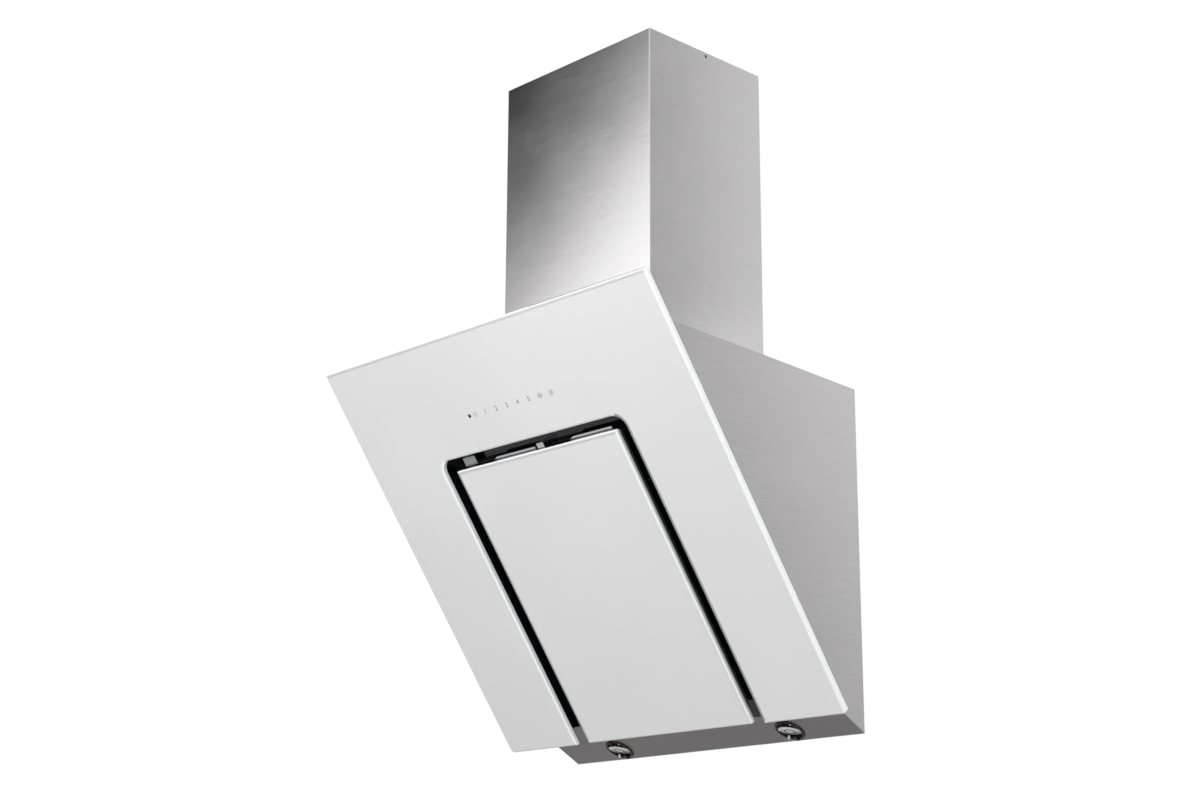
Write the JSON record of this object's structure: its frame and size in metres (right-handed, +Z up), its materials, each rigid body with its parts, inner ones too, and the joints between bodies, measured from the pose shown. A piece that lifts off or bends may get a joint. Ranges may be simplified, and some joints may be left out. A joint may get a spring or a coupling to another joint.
{
  "type": "range hood",
  "caption": "Wall-mounted range hood with a leaning flat white glass front, a hinged centre panel with suction round its rim, a blower and a telescopic steel chimney",
  "frame": {"origin": "on the wall plane, midway between the two hanging screws", "axes": "+X to the right as seen from the room, +Y into the wall, +Z up"},
  "size_m": [0.598, 0.4138, 0.8918],
  "materials": {
    "satin_steel": "fine brushed, satin",
    "black_gloss": "deep black gloss enamel",
    "zinc_steel": "bright zinc plating",
    "white_glass": "white back-painted float glass, glossy, clear edges",
    "filter_aluminium": "expanded mesh in a rolled rim",
    "black_plastic": "moulded, slightly satin",
    "grey_plastic": "moulded, satin",
    "board": "solder-resist green",
    "lamp_chrome": "polished",
    "lamp_can": "dark enamel",
    "lamp_lens": "frosted, translucent",
    "motor_enamel": "grey enamel",
    "can_aluminium": "drawn can",
    "rubber_pad": "soft pads"
  },
  "bodies": {
    "hood": {"left_side_panel": "satin_steel", "right_side_panel": "satin_steel", "top_panel": "satin_steel", "lamp_panel": "satin_steel", "back_panel": "satin_steel", "chimney_outer": "satin_steel", "front_frame": "black_gloss", "suction_tray": "black_gloss", "glass_rail_left": "zinc_steel", "glass_rail_right": "zinc_steel", "hinge_bracket_left": "zinc_steel", "hinge_bracket_right": "zinc_steel", "hinge_pin_left": "zinc_steel", "hinge_pin_right": "zinc_steel", "motor_carrier": "zinc_steel", "inlet_guard": "zinc_steel", "chimney_foot_left": "zinc_steel", "chimney_foot_right": "zinc_steel", "capacitor_clip": "zinc_steel", "flap_pin": "zinc_steel", "control_box_lid": "zinc_steel", "tray_screws": "zinc_steel", "front_glass": "white_glass", "filter_frame": "filter_aluminium", "filter_mesh": "filter_aluminium", "panel_catch_left": "black_plastic", "panel_catch_right": "black_plastic", "touch_cover": "black_plastic", "cable_gland": "black_plastic", "control_box": "black_plastic", "blower_housing_left": "black_plastic", "blower_housing_right": "black_plastic", "outlet_adapter": "black_plastic", "outlet_collar": "black_plastic", "collar_flange": "black_plastic", "lamp_driver": "black_plastic", "filter_handle": "grey_plastic", "touch_board": "board", "lamp_bezel_left": "lamp_chrome", "lamp_bezel_right": "lamp_chrome", "lamp_clips_left": "lamp_chrome", "lamp_clips_right": "lamp_chrome", "panel_post": "lamp_chrome", "lamp_can_left": "lamp_can", "lamp_can_right": "lamp_can", "lamp_lens_left": "lamp_lens", "lamp_lens_right": "lamp_lens", "motor": "motor_enamel", "motor_capacitor": "can_aluminium", "blower_mounts": "rubber_pad"},
    "centre_panel": {"centre_glass": "white_glass", "panel_tray": "zinc_steel"},
    "latch": {"filter_latch": "black_plastic"},
    "fan": {"impeller": "grey_plastic", "motor_shaft": "zinc_steel"},
    "flap_a": {"flap_front": "grey_plastic"},
    "flap_b": {"flap_rear": "grey_plastic"},
    "upper_chimney": {"chimney_inner": "satin_steel", "chimney_wall_bracket": "zinc_steel"}
  },
  "joints": [
    {"name": "panel_hinge", "type": "hinge", "parent": "hood", "child": "centre_panel", "pos_m": [0, -0.07417, -0.36191], "axis": [1, 0, 0], "range_deg": [0, 90]},
    {"name": "filter_latch_slide", "type": "slide", "parent": "hood", "child": "latch", "axis": [0, 0.5736, -0.8192], "range_m": [0, 0.005], "stiffness_N_per_m": 300, "springref_m": -0.001},
    {"name": "fan_spin", "type": "hinge", "parent": "hood", "child": "fan", "pos_m": [0, -0.088, -0.133], "axis": [1, 0, 0], "continuous": true},
    {"name": "flap_front_hinge", "type": "hinge", "parent": "hood", "child": "flap_a", "pos_m": [0, -0.143, 0.077], "axis": [-1, 0, 0], "range_deg": [0, 75]},
    {"name": "flap_rear_hinge", "type": "hinge", "parent": "hood", "child": "flap_b", "pos_m": [0, -0.143, 0.077], "axis": [1, 0, 0], "range_deg": [0, 75]},
    {"name": "chimney_slide", "type": "slide", "parent": "hood", "child": "upper_chimney", "axis": [0, 0, 1], "range_m": [0, 0.28]}
  ]
}
